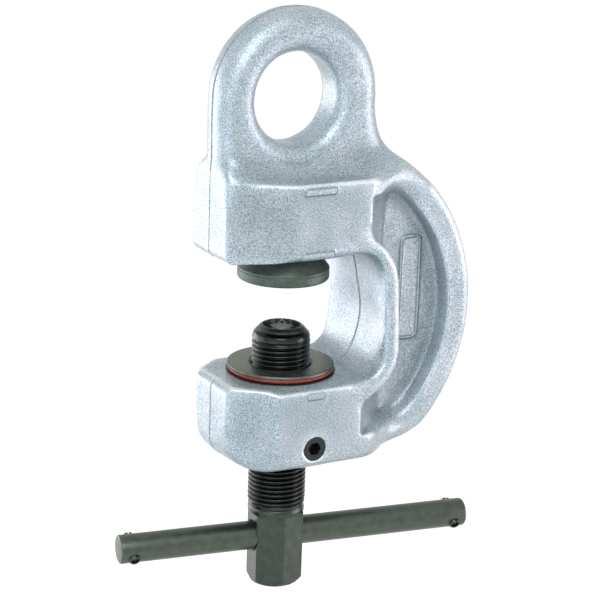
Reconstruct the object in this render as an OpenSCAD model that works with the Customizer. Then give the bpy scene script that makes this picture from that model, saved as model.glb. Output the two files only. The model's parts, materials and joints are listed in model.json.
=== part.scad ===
// Screw lifting clamp: a forged C frame with a lifting eye, a turning grip pad in the upper jaw
// and a pressing screw with a sliding tommy bar in the lower jaw.
// The origin is the centre of the lifting eye. +Z is up along the screw, the mouth opens to -X
// and the eye's bore runs along Y.

/* [Lifting eye] */
// Diameter of the eye's bore
eye_bore_d = 36.5; // [32:0.5:40]
// Outer diameter of the eye
eye_outer_d = 70.8; // [67:0.2:76]
// How far the eye's outer round sits off the bore, towards the spine
eye_shift = 1.8; // [0:0.1:3]
// Thickness of the eye
eye_w = 21.2; // [19:0.2:24]
// Rounding of the eye's edges
eye_edge_r = 8.4; // [6:0.2:9]

/* [Frame] */
// From the eye's centre down to the underside of the upper jaw
eye_to_mouth = 62.8; // [58:0.2:72]
// Height of the mouth between the jaws
mouth_h = 50.8; // [46:0.2:60]
// From the screw's axis to the deepest line of the throat
throat_depth = 37.6; // [35:0.2:44]
// Corner radius of the throat
throat_r = 9.5; // [7:0.5:14]
// How much shallower the throat is at its edges than at its middle
throat_hollow = 3.2; // [1:0.1:4]
// Height of the upper jaw's side
upper_jaw_h = 31.3; // [27:0.1:34]
// Width of the upper jaw
upper_jaw_w = 45; // [42:0.5:50]
// From the screw's axis to the nose of the upper jaw
upper_nose = 34; // [30:0.2:37]
// Width of the upper jaw's nose between its corner facets
upper_nose_w = 30; // [20:0.5:36]
// Height of the lower jaw
lower_jaw_h = 36; // [32:0.2:42]
// Width of the lower jaw
lower_jaw_w = 54; // [52:0.5:60]
// From the screw's axis to the nose of the lower jaw
lower_nose = 31.7; // [29:0.2:36]
// Width of the lower jaw's nose between its corner facets
lower_nose_w = 27.4; // [20:0.2:36]
// Radius of the spine's outer curve
back_r = 76; // [74:0.5:82]
// How far the centre of that curve lies in front of the throat's deepest line
back_set = 31; // [28:0.5:33]
// Width of the spine across its flanges
spine_w = 30; // [26:0.5:36]
// Thickness of the web between the flanges
web_t = 14; // [8:0.5:18]
// Breadth of the outer flange
outer_flange = 12; // [9:0.5:15]
// Breadth of the flange round the throat, from the throat's deepest line
inner_flange = 5.2; // [4:0.1:8]
// Corner radius of that flange's outer border
inner_flange_r = 22; // [18:0.5:24]
// Width of the blank panel on the web
panel_w = 10.2; // [7:0.2:12]
// Length of the panel
panel_l = 44.8; // [36:0.2:50]
// From the throat's deepest line to the panel
panel_gap = 13; // [12:0.2:15]

/* [Grip pad] */
// Diameter of the grip pad
pad_d = 37.4; // [32:0.2:42]
// Height of the pad's rim
pad_rim_h = 4.8; // [4:0.1:7]
// Height of the pad's cone and collar above its rim
pad_back_h = 6.6; // [5:0.1:8]
// Diameter of the pad's stem
stem_d = 18; // [14:0.5:20]
// Length of the pad's stem
stem_l = 18; // [14:0.5:21]
// Depth of the grooves in the pad's face
pad_tooth_h = 1.2; // [0.6:0.1:2]

/* [Screw] */
// Outer diameter of the screw's thread
screw_d = 24; // [22:0.5:26]
// From the underside of the upper jaw down to the screw's tip
tip_drop = 31.5; // [26:0.1:36]
// Diameter of the swivelling tip
tip_d = 19.8; // [17:0.2:20.8]
// Height of the tip above the screw's end
tip_h = 2; // [1.8:0.1:4]
// Length of the threaded stretch
thread_l = 72.4; // [66:0.2:84]
// Length of the plain collar below the thread
collar_l = 6.4; // [4:0.2:9]
// Length of the hexagonal head
head_l = 31.6; // [28:0.2:38]
// Width of the head across its corners
head_d = 23.6; // [20:0.2:24]

/* [Tommy bar] */
// Diameter of the tommy bar
bar_d = 12; // [10:0.5:13]
// Length of the tommy bar
bar_l = 154; // [120:1:180]
// From the head's top down to the bar's axis
bar_drop = 10.8; // [9:0.2:14]
// How far the bar is slid through the head at rest
bar_slid = 9; // [-20:1:20]
// Direction of the bar at rest, about the screw's axis
bar_angle = -8.7; // [-60:0.1:60]
// Diameter of the stop pins
pin_d = 5; // [3:0.5:6]
// Length of the stop pins
pin_l = 14; // [13.5:0.1:16]
// From the bar's end to its stop pin
pin_inset = 5.5; // [4:0.5:9]
// Tilt of the stop pins about the bar
pin_tilt = 28; // [0:1:60]

/* [Threaded bush] */
// Outer diameter of the bush
bush_d = 36; // [32:0.5:38]
// Diameter of the bush's flange
flange_d = 43.9; // [41:0.1:46]
// Height of the flange above the lower jaw
flange_h = 3.5; // [3.3:0.1:5]
// Thickness of the red seal ring
seal_d = 2.1; // [1.6:0.1:2.2]
// Diameter of the set screw
set_screw_d = 10; // [6:0.5:10]
// Width of the set screw's socket across its flats
set_socket = 5; // [2.5:0.1:5.5]
// From the lower jaw's top down to the set screw
set_screw_drop = 26.4; // [14:0.2:28]
// How far the set screw sits off the screw's axis
set_screw_x = 2.5; // [0:0.1:4]

/* [Hidden] */
$fn = 72;

run_gap = 0.05;       // radial play of turning and sliding fits
seat_gap = 0.03;      // radial play of fixed fits
rest_gap = 0.3;       // room at the blind ends of bores
cut = 1;              // how far cutting shapes reach past the faces they open

mouth_top = -eye_to_mouth;
mouth_floor = mouth_top - mouth_h;
mouth_mid = (mouth_top + mouth_floor) / 2;
frame_floor = mouth_floor - lower_jaw_h;
upper_ledge = mouth_top + upper_jaw_h;
back_x = throat_depth - back_set;
back_z = mouth_mid - 1.8;
rim_r = back_r - outer_flange;
shoulder_r = (upper_jaw_w - eye_w) / 2;
spine_edge_r = 4;     // rounding of the outer flange
flange_rise = 3.4;    // extra breadth of the throat's flange above the mouth
flange_fall = 4.6;    // and below it
flange_foot = 3.1;    // lower end of the outer flange, above the frame's lowest face
flange_floor = frame_floor + flange_foot;
flange_foot_run = 13; // from the jaw's taper to that end
ledge_rise = 2.5;     // how far the ledge climbs towards the spine
recess_x = throat_depth - 10.4;     // front wall of the web's pockets
recess_run = 15;      // along X, how far that wall slopes in to the web
recess_sill = 12.5;   // floor and roof of the pockets
recess_lid = 7;
recess_floor = frame_floor + recess_sill;
recess_top = upper_ledge - recess_lid;
panel_proud = 0.8;
panel_mid = mouth_mid + 5.6;
throat_edge = throat_depth - throat_hollow;
taper_start = throat_depth - 9.6;   // the jaws narrow from here
taper_end = throat_depth + 9.4;     // to the spine's width here
edge_cut = 2.5;       // forged edges of the jaws
crown = 1.7;          // fall of the lower jaw's faces towards their edges
chin_run = 11;        // forged rounding under the lower jaw's nose
chin_rise = 9;
upper_facet = 27.6;   // length of the jaws' corner facets along X
lower_facet = 17;
eye_left = eye_shift - eye_outer_d / 2;
eye_right = eye_outer_d / 2 + eye_shift;
flare_r = 29.3;       // hollow where the eye runs into the spine's outer curve
flare_bite = 0.3;     // how far that hollow runs into the curve
flare_x = eye_right + flare_r;
flare_z = back_z + sqrt(pow(back_r + flare_r - flare_bite, 2) - pow(flare_x - back_x, 2));
flare_end = back_x + (flare_x - back_x) * back_r / (back_r + flare_r);
eye_lip_r = min(eye_outer_d / 2 - eye_edge_r - eye_shift - eye_bore_d / 2 - 0.15, eye_w / 2 - 2);

pad_face = mouth_top - pad_back_h - pad_rim_h;
pad_neck_d = 24;
pad_back_d = pad_d - 9.4;
wire_d = 1.9;         // snap rings
pad_wire_z = mouth_top + stem_l * 0.6;

tip_top = mouth_top - tip_drop;
screw_top = tip_top - tip_h;
thread_end = screw_top - thread_l;
head_top = thread_end - collar_l;
head_floor = head_top - head_l;
head_flat = head_d / 2 * cos(30);
bar_z = head_top - bar_drop;
screw_end_h = 3;      // plain, slightly tapered end above the thread
tip_stem_d = 10;
tip_stem_l = 14;
tip_wire_z = screw_top - tip_stem_l * 0.6;

flange_top = mouth_floor + flange_h;
lip_h = 0.45;         // thin foot of the bush's flange, below the ring
lip_r = flange_d / 2 + 0.6;
seal_r = lip_r - 0.1 - seal_d / 2;
seal_z = mouth_floor + lip_h + seal_d / 2;
jaw_side = -lower_jaw_w / 2;
set_z = mouth_floor - set_screw_drop;
dog_d = set_screw_d * 0.6;
dog_reach = -bush_d / 2 + 2.2;

module outline_xz(w) {
    rotate([90, 0, 0])
        linear_extrude(w, center = true)
            children();
}

module outline_yz(l) {
    rotate([90, 0, 90])
        linear_extrude(l, center = true)
            children();
}

module about_y() {
    rotate([90, 0, 0])
        rotate_extrude()
            children();
}

// A disc with rounded edges, its axis along Y
module rounded_disc(r, w, e) {
    about_y() {
        translate([0, -w / 2])
            square([r - e, w]);
        translate([0, e - w / 2])
            square([r, w - 2 * e]);
        for (side = [-1, 1])
            translate([r - e, side * (w / 2 - e)])
                circle(r = e);
    }
}

// A hole through a plate of width w with both mouths rounded, its axis along Y
module flared_hole(r, w, e) {
    about_y()
        difference() {
            polygon([
                [0, -w / 2 - 3], [r + e + 2.5, -w / 2 - 3], [r + e, -w / 2],
                [r + e, w / 2], [r + e + 2.5, w / 2 + 3], [0, w / 2 + 3]
            ]);
            translate([r, e - w / 2])
                square([e + cut, w - 2 * e]);
            for (side = [-1, 1])
                translate([r + e, side * (w / 2 - e)])
                    circle(r = e);
        }
}

module rounded_block(x0, x1, z0, z1, r) {
    translate([x0 + r, z0])
        square([x1 - x0 - 2 * r, z1 - z0]);
    translate([x0, z0 + r])
        square([x1 - x0, z1 - z0 - 2 * r]);
    for (x = [x0 + r, x1 - r], z = [z0 + r, z1 - r])
        translate([x, z])
            circle(r = r);
}

// The neck that carries the eye and flares into the spine
module eye_neck() {
    difference() {
        intersection() {
            outline_xz(eye_w)
                polygon([
                    [eye_left, 0], [eye_left, upper_ledge - edge_cut], [flare_end, upper_ledge - edge_cut],
                    [flare_end, flare_z], [eye_right, flare_z], [eye_right, 0]
                ]);
            translate([0, 0, upper_ledge - 2 * edge_cut])
                linear_extrude(eye_w - upper_ledge)
                    rounded_block(eye_left, back_r, -eye_w / 2, eye_w / 2, eye_edge_r);
        }
        translate([flare_x, 0, flare_z])
            flared_hole(flare_r, eye_w, eye_edge_r);
    }
}

// Half of a jaw seen from above: nose, corner facet and side, narrowing into the spine
module jaw_plan(nose, nose_w, jaw_w, facet) {
    polygon([
        [-nose, -nose_w / 2], [-nose + facet, -jaw_w / 2],
        [taper_start, -jaw_w / 2], [taper_end, -spine_w / 2],
        [back_x + back_r + cut, -spine_w / 2], [back_x + back_r + cut, spine_w / 2],
        [taper_end, spine_w / 2], [taper_start, jaw_w / 2],
        [-nose + facet, jaw_w / 2], [-nose, nose_w / 2]
    ]);
}

// The frame's upper half seen from the front
module upper_side() {
    polygon([
        [-upper_nose, upper_ledge], [-upper_nose, mouth_top + edge_cut],
        [edge_cut - upper_nose, mouth_top], [throat_edge - throat_r, mouth_top],
        [taper_end, mouth_top + inner_flange], [taper_end, upper_ledge + ledge_rise], [5, upper_ledge]
    ]);
}

module lower_side() {
    polygon([
        [-lower_nose, mouth_floor - edge_cut], [edge_cut - lower_nose, mouth_floor],
        [throat_edge - throat_r, mouth_floor], [taper_end, mouth_floor - inner_flange],
        [taper_end, frame_floor + 2.6], [throat_depth - 12, frame_floor - 1],
        [chin_run - lower_nose, frame_floor],
        [0.27 * chin_run - lower_nose, frame_floor + 0.44 * chin_rise],
        [-lower_nose, frame_floor + chin_rise]
    ]);
}

// The throat's edge profile seen from the front
module throat_side() {
    rounded_block(-throat_r, throat_edge, mouth_floor, mouth_top, throat_r);
}

// The outer border of the flange round the throat seen from the front
module inner_flange_side() {
    rounded_block(
        -throat_r, throat_depth + inner_flange, mouth_floor - inner_flange - flange_fall,
        mouth_top + inner_flange + flange_rise, inner_flange_r
    );
}

// The spine: a round-edged outer flange and web, and the wide flange round the throat
module spine() {
    intersection() {
        translate([back_x, 0, back_z])
            rounded_disc(back_r, spine_w, spine_edge_r);
        outline_xz(spine_w + cut)
            difference() {
                polygon([
                    [throat_edge - throat_r, frame_floor - 1], [throat_depth, frame_floor - 1],
                    [taper_end + flange_foot_run, flange_floor], [back_x + back_r + cut, flange_floor],
                    [back_x + back_r + cut, upper_ledge + ledge_rise],
                    [throat_edge - throat_r, upper_ledge + ledge_rise]
                ]);
                throat_side();
            }
    }
    intersection() {
        outline_xz(lower_jaw_w + cut)
            difference() {
                intersection() {
                    inner_flange_side();
                    translate([throat_edge - throat_r, frame_floor])
                        square([back_r, upper_ledge - frame_floor]);
                }
                throat_side();
            }
        outline_yz(2 * back_r)
            polygon([
                [-upper_jaw_w / 2, upper_ledge], [-upper_jaw_w / 2, mouth_top],
                [-lower_jaw_w / 2, mouth_floor - crown], [-lower_jaw_w / 2, frame_floor],
                [lower_jaw_w / 2, frame_floor], [lower_jaw_w / 2, mouth_floor - crown],
                [upper_jaw_w / 2, mouth_top], [upper_jaw_w / 2, upper_ledge]
            ]);
    }
}

// The hollow of the throat, deepest at the middle of its width
module throat_hollow_cut() {
    bow_r = (pow(lower_jaw_w / 2, 2) + pow(throat_hollow, 2)) / (2 * throat_hollow);
    reach = throat_depth - back_x;
    intersection() {
        translate([back_x, 0, mouth_mid - 3.5])
            about_y()
                intersection() {
                    translate([0, -lower_jaw_w / 2 - cut])
                        square([reach + cut, lower_jaw_w + 2 * cut]);
                    translate([reach - bow_r, 0])
                        circle(r = bow_r, $fn = 200);
                }
        translate([0, -lower_jaw_w, mouth_floor])
            cube([back_r, 2 * lower_jaw_w, mouth_h]);
    }
}

module upper_cross() {
    difference() {
        polygon([
            [-upper_jaw_w / 2, mouth_top + edge_cut], [-upper_jaw_w / 2 + edge_cut, mouth_top],
            [upper_jaw_w / 2 - edge_cut, mouth_top], [upper_jaw_w / 2, mouth_top + edge_cut],
            [upper_jaw_w / 2, upper_ledge + shoulder_r], [-upper_jaw_w / 2, upper_ledge + shoulder_r]
        ]);
        for (side = [-1, 1])
            translate([side * upper_jaw_w / 2, upper_ledge + shoulder_r])
                circle(r = shoulder_r);
    }
}

module lower_cross() {
    for (side = [0, 1])
        mirror([side, 0])
            polygon([
                [0, mouth_floor], [lip_r, mouth_floor],
                [lower_jaw_w / 2, mouth_floor - crown], [lower_jaw_w / 2, frame_floor + 2 * crown],
                [flange_d / 2 - 2, frame_floor - 1], [0, frame_floor - 1]
            ]);
}

// The shoulder that rises from the upper jaw's ledge to the eye
module shoulder() {
    intersection() {
        outline_xz(upper_jaw_w)
            intersection() {
                translate([-upper_nose, upper_ledge - edge_cut])
                    square([upper_nose + back_r, shoulder_r + edge_cut]);
                translate([back_x, back_z])
                    circle(r = back_r);
            }
        outline_yz(2 * back_r)
            upper_cross();
        translate([0, 0, upper_ledge - 2 * edge_cut])
            linear_extrude(shoulder_r + 3 * edge_cut)
                jaw_plan(upper_nose, upper_nose_w, upper_jaw_w, upper_facet);
    }
}

module jaws_and_spine() {
    intersection() {
        outline_xz(upper_jaw_w)
            upper_side();
        outline_yz(2 * back_r)
            upper_cross();
        translate([0, 0, mouth_top - cut])
            linear_extrude(upper_jaw_h + 5)
                jaw_plan(upper_nose, upper_nose_w, upper_jaw_w, upper_facet);
    }
    intersection() {
        outline_xz(lower_jaw_w)
            lower_side();
        outline_yz(2 * back_r)
            lower_cross();
        translate([0, 0, frame_floor - 2])
            linear_extrude(lower_jaw_h + 3)
                jaw_plan(lower_nose, lower_nose_w, lower_jaw_w, lower_facet);
        union() {
            rotate_extrude()
                polygon([
                    [0, frame_floor - cut], [lower_jaw_w / 2 - cut, frame_floor - cut],
                    [lower_nose + 9, frame_floor + 10], [lower_nose + 9, mouth_floor + cut],
                    [0, mouth_floor + cut]
                ]);
            translate([0, -lower_jaw_w / 2 - cut, frame_floor - cut])
                cube([2 * back_r, lower_jaw_w + 2 * cut, lower_jaw_h + 2 * cut]);
        }
    }
    spine();
}

// The pocket that leaves the web, on one side of the frame
module recess(side) {
    mirror([0, side, 0])
        intersection() {
            outline_xz(lower_jaw_w + cut)
                difference() {
                    intersection() {
                        translate([back_x, back_z])
                            circle(r = rim_r);
                        translate([recess_x - 8, recess_floor])
                            square([back_r, recess_top - recess_floor]);
                    }
                    inner_flange_side();
                }
            translate([0, 0, frame_floor])
                linear_extrude(upper_ledge - frame_floor)
                    polygon([
                        [recess_x - 5, -lower_jaw_w / 2 - cut], [recess_x, -upper_jaw_w / 2],
                        [recess_x + recess_run, -web_t / 2], [back_x + back_r, -web_t / 2],
                        [back_x + back_r, -lower_jaw_w / 2 - cut]
                    ]);
        }
}

// A blank raised panel on the front of the web
module web_panel() {
    translate([0, -web_t / 2, 0])
        outline_xz(2 * panel_proud)
            translate([throat_depth + panel_gap, panel_mid])
                rounded_block(0, panel_w, -panel_l / 2, panel_l / 2, 3);
}

module clamp_body() {
    color("lightsteelblue")
        difference() {
            union() {
                translate([eye_shift, 0, 0])
                    rounded_disc(eye_outer_d / 2, eye_w, eye_edge_r);
                eye_neck();
                shoulder();
                difference() {
                    jaws_and_spine();
                    recess(0);
                    recess(1);
                }
                web_panel();
            }
            flared_hole(eye_bore_d / 2, eye_w, eye_lip_r);
            throat_hollow_cut();
            translate([0, 0, mouth_top - cut])
                cylinder(d = stem_d + 2 * run_gap, h = stem_l + rest_gap + cut);
            translate([0, 0, pad_wire_z])
                rotate_extrude()
                    translate([stem_d / 2, 0])
                        circle(d = wire_d + 2 * rest_gap);
            translate([0, 0, frame_floor - 2 * cut])
                cylinder(d = bush_d + 2 * seat_gap, h = lower_jaw_h + 3 * cut);
            translate([set_screw_x, jaw_side - cut, set_z])
                rotate([-90, 0, 0])
                    cylinder(d = set_screw_d + 2 * seat_gap, h = lower_jaw_w / 2 - bush_d / 4);
        }
}

module nut_bush() {
    color("darkslategray")
        difference() {
            rotate_extrude()
                difference() {
                    union() {
                        translate([0, frame_floor + 0.6])
                            square([bush_d / 2, flange_top - frame_floor - 0.6]);
                        translate([0, mouth_floor])
                            square([lip_r, lip_h]);
                        translate([0, mouth_floor])
                            square([seal_r - seal_d / 2, flange_h]);
                        translate([0, mouth_floor + lip_h + seal_d])
                            square([flange_d / 2, flange_h - lip_h - seal_d]);
                    }
                    translate([0, frame_floor])
                        square([screw_d / 2 + run_gap, lower_jaw_h + flange_h + cut]);
                }
            translate([set_screw_x, -bush_d / 2 - cut, set_z])
                rotate([-90, 0, 0])
                    cylinder(d = dog_d + 2 * rest_gap, h = dog_reach + bush_d / 2 + cut + rest_gap);
        }
}

module bush_seal_ring() {
    color("indianred")
        translate([0, 0, seal_z])
            rotate_extrude()
                translate([seal_r, 0])
                    circle(d = seal_d);
}

module bush_set_screw() {
    shank_end = -bush_d / 2 - 0.4;
    color("darkslategray")
        translate([set_screw_x, 0, set_z])
            rotate([-90, 0, 0])
                difference() {
                    union() {
                        translate([0, 0, jaw_side + 0.6])
                            cylinder(d = set_screw_d, h = shank_end - jaw_side - 0.6);
                        translate([0, 0, shank_end - cut])
                            cylinder(d = dog_d, h = dog_reach - shank_end + cut);
                    }
                    translate([0, 0, jaw_side])
                        cylinder(d = set_socket / cos(30), h = set_socket, $fn = 6);
                }
}

// Round-wire snap ring, open over a small angle
module snap_ring(r, z) {
    translate([0, 0, z])
        rotate([0, 0, 12])
            rotate_extrude(angle = 336)
                translate([r, 0])
                    circle(d = wire_d);
}

module grip_pad() {
    groove_step = 3.4;
    color("darkslategray")
        rotate_extrude()
            difference() {
                polygon([
                    [0, pad_face], [pad_d / 2 - 1.2, pad_face], [pad_d / 2, pad_face + 1.2],
                    [pad_d / 2, mouth_top - pad_back_h - 0.4], [pad_d / 2 - 0.4, mouth_top - pad_back_h],
                    [pad_back_d / 2, mouth_top - 0.6],
                    [pad_neck_d / 2, mouth_top - 0.6], [pad_neck_d / 2, mouth_top],
                    [stem_d / 2, mouth_top], [stem_d / 2, mouth_top + stem_l - 1],
                    [stem_d / 2 - 1, mouth_top + stem_l], [0, mouth_top + stem_l]
                ]);
                for (r = [groove_step + 0.6 : groove_step : pad_d / 2 - 2])
                    polygon([
                        [r, pad_face - 0.1], [r + pad_tooth_h, pad_face + pad_tooth_h],
                        [r + 2 * pad_tooth_h, pad_face - 0.1]
                    ]);
                translate([stem_d / 2, pad_wire_z])
                    circle(d = wire_d + 2 * run_gap);
            }
}

module pad_snap_ring() {
    color("dimgray")
        snap_ring(stem_d / 2, pad_wire_z);
}

module screw_spindle() {
    color("darkslategray")
        difference() {
            union() {
                rotate_extrude()
                    polygon([
                        [0, head_top - cut], [head_flat - 0.4, head_top - cut], [head_flat - 0.4, head_top],
                        [head_d / 2, head_top], [head_d / 2, thread_end], [screw_d / 2, thread_end],
                        [screw_d / 2, screw_top - screw_end_h], [screw_d / 2 - 0.6, screw_top - 1],
                        [tip_d / 2 + 0.4, screw_top], [0, screw_top]
                    ]);
                intersection() {
                    translate([0, 0, head_floor])
                        rotate([0, 0, bar_angle - 30])
                            cylinder(d = head_d, h = head_l, $fn = 6);
                    translate([0, 0, head_floor])
                        rotate_extrude()
                            polygon([
                                [0, 0], [head_flat - 0.4, 0], [head_d / 2 + 0.1, 1.8],
                                [head_d / 2 + 0.1, head_l], [0, head_l]
                            ]);
                }
            }
            translate([0, 0, screw_top - tip_stem_l - rest_gap])
                cylinder(d = tip_stem_d + 2 * run_gap, h = tip_stem_l + rest_gap + cut);
            translate([0, 0, tip_wire_z])
                rotate_extrude()
                    translate([tip_stem_d / 2, 0])
                        circle(d = wire_d + 2 * rest_gap);
            translate([0, 0, bar_z])
                rotate([0, 90, bar_angle])
                    cylinder(d = bar_d + 2 * run_gap, h = 2 * head_d, center = true);
        }
}

module spindle_tip() {
    teeth = 12;
    tooth_deep = 1.5;
    tooth_l = tip_d / 2 - 4;
    color("darkslategray")
        difference() {
            rotate_extrude()
                difference() {
                    polygon([
                        [0, tip_top], [tip_d / 2 - 1.3, tip_top], [tip_d / 2, tip_top - 1.4],
                        [tip_d / 2, screw_top], [tip_stem_d / 2, screw_top],
                        [tip_stem_d / 2, screw_top - tip_stem_l + 0.8],
                        [tip_stem_d / 2 - 0.8, screw_top - tip_stem_l], [0, screw_top - tip_stem_l]
                    ]);
                    translate([tip_stem_d / 2, tip_wire_z])
                        circle(d = wire_d + 2 * run_gap);
                }
            translate([0, 0, tip_top - 1.2])
                cylinder(d = 5, h = 1.2 + cut);
            for (i = [0 : teeth - 1])
                rotate([0, 0, i * 360 / teeth])
                    translate([tip_d / 4, 0, tip_top])
                        rotate([45, 0, 0])
                            cube([tooth_l, tooth_deep, tooth_deep], center = true);
        }
}

module tip_snap_ring() {
    color("dimgray")
        snap_ring(tip_stem_d / 2, tip_wire_z);
}

// Places its children along the tommy bar, x along the bar from its middle
module along_bar() {
    translate([0, 0, bar_z])
        rotate([0, 0, bar_angle])
            translate([bar_slid, 0, 0])
                children();
}

// Places a stop pin at one end of the bar, z along the pin
module pin_place(side) {
    along_bar()
        translate([side * (bar_l / 2 - pin_inset), 0, 0])
            rotate([90 + pin_tilt, 0, 0])
                children();
}

module tommy_bar() {
    color("dimgray")
        difference() {
            along_bar()
                rotate([0, 90, 0])
                    rotate_extrude()
                        polygon([
                            [0, -bar_l / 2], [bar_d / 2 - 0.7, -bar_l / 2],
                            [bar_d / 2, 0.7 - bar_l / 2], [bar_d / 2, bar_l / 2 - 0.7],
                            [bar_d / 2 - 0.7, bar_l / 2], [0, bar_l / 2]
                        ]);
            for (side = [-1, 1])
                pin_place(side)
                    cylinder(d = pin_d + 2 * seat_gap, h = 2 * bar_d, center = true);
        }
}

// Rolled spring pin with its slot
module stop_pin(side) {
    color("dimgray")
        pin_place(side)
            difference() {
                cylinder(d = pin_d, h = pin_l, center = true);
                cylinder(d = pin_d - 1.8, h = pin_l + cut, center = true);
                translate([0, pin_d / 2, 0])
                    cube([0.7, pin_d, pin_l + cut], center = true);
            }
}

module bar_pin_left() {
    stop_pin(-1);
}

module bar_pin_right() {
    stop_pin(1);
}

clamp_body();
nut_bush();
bush_seal_ring();
bush_set_screw();
grip_pad();
pad_snap_ring();
screw_spindle();
spindle_tip();
tip_snap_ring();
tommy_bar();
bar_pin_left();
bar_pin_right();
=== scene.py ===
import json
import math

import bmesh
import bpy
import numpy as np
from mathutils import Matrix, Vector


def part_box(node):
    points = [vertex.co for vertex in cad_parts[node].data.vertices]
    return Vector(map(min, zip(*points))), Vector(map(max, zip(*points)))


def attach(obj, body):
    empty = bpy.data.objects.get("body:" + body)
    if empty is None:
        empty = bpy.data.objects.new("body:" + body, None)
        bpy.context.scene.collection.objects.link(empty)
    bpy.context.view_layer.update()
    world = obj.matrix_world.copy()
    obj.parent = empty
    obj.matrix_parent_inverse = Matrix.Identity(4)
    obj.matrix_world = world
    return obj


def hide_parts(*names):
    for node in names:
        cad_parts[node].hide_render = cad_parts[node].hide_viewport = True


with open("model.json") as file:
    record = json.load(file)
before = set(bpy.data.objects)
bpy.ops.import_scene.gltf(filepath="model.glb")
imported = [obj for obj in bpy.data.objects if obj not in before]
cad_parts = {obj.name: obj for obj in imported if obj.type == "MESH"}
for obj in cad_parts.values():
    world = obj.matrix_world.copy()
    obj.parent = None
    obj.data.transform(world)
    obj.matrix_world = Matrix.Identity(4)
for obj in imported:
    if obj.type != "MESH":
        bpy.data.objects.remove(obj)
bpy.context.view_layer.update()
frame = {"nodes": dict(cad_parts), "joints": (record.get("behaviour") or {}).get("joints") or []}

mm = 0.001


# small helpers
def linearColour(hexText):
    # "#rrggbb" as seen on a screen, turned to the linear values the sockets take
    parts = [int(hexText[i:i + 2], 16) / 255 for i in (1, 3, 5)]
    return tuple(c / 12.92 if c <= 0.04045 else ((c + 0.055) / 1.055) ** 2.4 for c in parts) + (1.0,)


def addNode(tree, kind, values=None, links=None, tones=(), **settings):
    # tones are a colour ramp's places and colours; a node given as a link stands for its first output
    node = tree.nodes.new("ShaderNode" + kind)
    for name, value in settings.items():
        setattr(node, name, value)
    for i, (position, tone) in enumerate(tones):
        node.color_ramp.elements[i].position = position
        node.color_ramp.elements[i].color = linearColour(tone)
    for socket, value in (values or {}).items():
        node.inputs[socket].default_value = value
    for socket, source in (links or {}).items():
        output = source.outputs[0] if isinstance(source, bpy.types.Node) else source
        tree.links.new(output, node.inputs[socket])
    return node


def limits(source, result):
    # one range turned into another, as the sockets call them
    return {"From Min": source[0], "From Max": source[1], "To Min": result[0], "To Max": result[1]}


def startMaterial(name):
    material = bpy.data.materials.new(name)
    material.use_nodes = True
    tree = material.node_tree
    tree.nodes.clear()
    return material, tree


def placeObject(name, mesh, material=None, smooth=True):
    if smooth:
        mesh.shade_smooth()
    piece = bpy.data.objects.new(name, mesh)
    bpy.context.scene.collection.objects.link(piece)
    if material:
        mesh.materials.clear()
        mesh.materials.append(material)
    return piece


def roundSize(nodeName):
    # an upright round CAD piece's widest diameter, its lowest and its highest point, in mm
    low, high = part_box(nodeName)
    reach = max(-low[0], -low[1], high[0], high[1])
    return [round(value / mm, 3) for value in (2 * reach, low[2], high[2])]


def meshFromArrays(name, points, faces):
    mesh = bpy.data.meshes.new(name)
    mesh.from_pydata([tuple(p) for p in np.asarray(points) * mm], [], faces)
    mesh.validate()
    mesh.update()
    return mesh


def roundCorners(points, radii, steps=5):
    # each corner of an open (radius, height) profile gets an arc of its own radius
    result = [np.array(points[0], float)]
    for i in range(1, len(points) - 1):
        before, corner, after = (np.array(p, float) for p in points[i - 1:i + 2])
        toBefore, toAfter = before - corner, after - corner
        lengthBefore, lengthAfter = np.linalg.norm(toBefore), np.linalg.norm(toAfter)
        toBefore, toAfter = toBefore / lengthBefore, toAfter / lengthAfter
        angle = math.acos(max(-1.0, min(1.0, float(toBefore @ toAfter))))
        if radii[i] <= 0 or angle > math.pi - 0.02:
            result.append(corner)
            continue
        cutBack = min(radii[i] / math.tan(angle / 2), lengthBefore * 0.48, lengthAfter * 0.48)
        radius = cutBack * math.tan(angle / 2)
        inward = toBefore + toAfter
        middle = corner + inward / np.linalg.norm(inward) * radius / math.sin(angle / 2)
        first, last = corner + toBefore * cutBack - middle, corner + toAfter * cutBack - middle
        for s in range(steps + 1):
            arm = first * (1 - s / steps) + last * s / steps
            result.append(middle + arm / np.linalg.norm(arm) * radius)
    result.append(np.array(points[-1], float))
    return result


def turnedMesh(name, profile, steps=96):
    # a lathe: (radius, height) points turned about the vertical axis, closed where the radius is 0
    points, rings, faces = [], [], []
    for radius, height in profile:
        if radius < 1e-6:
            rings.append([len(points)] * steps)
            points.append((0, 0, height))
        else:
            rings.append(list(range(len(points), len(points) + steps)))
            points += [(radius * math.cos(2 * math.pi * s / steps),
                        radius * math.sin(2 * math.pi * s / steps), height) for s in range(steps)]
    for lower, upper in zip(rings, rings[1:]):
        for s in range(steps):
            t = (s + 1) % steps
            corners = [lower[s], lower[t], upper[t], upper[s]]
            corners = [c for i, c in enumerate(corners) if c != corners[i - 1]]
            if len(corners) > 2:
                faces.append(corners)
    return meshFromArrays(name, points, faces)


def bandFaces(rings):
    # four-cornered faces all round, between each ring of points and the next
    faces = []
    for ring, following in zip(rings, rings[1:]):
        for k in range(len(ring)):
            n = (k + 1) % len(ring)
            faces.append([ring[k], following[k], following[n], ring[n]])
    return faces


def joinMeshes(name, meshes):
    work = bmesh.new()
    for mesh in meshes:
        work.from_mesh(mesh)
    joined = bpy.data.meshes.new(name)
    work.to_mesh(joined)
    work.free()
    return joined


def outwardFaces(mesh):
    work = bmesh.new()
    work.from_mesh(mesh)
    bmesh.ops.recalc_face_normals(work, faces=work.faces)
    work.to_mesh(mesh)
    work.free()
    return mesh


def creaseAt(mesh, degrees):
    # smooth, but for the edges that turn by more than this
    mesh.shade_smooth()
    mesh.set_sharp_from_angle(angle=math.radians(degrees))


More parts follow.
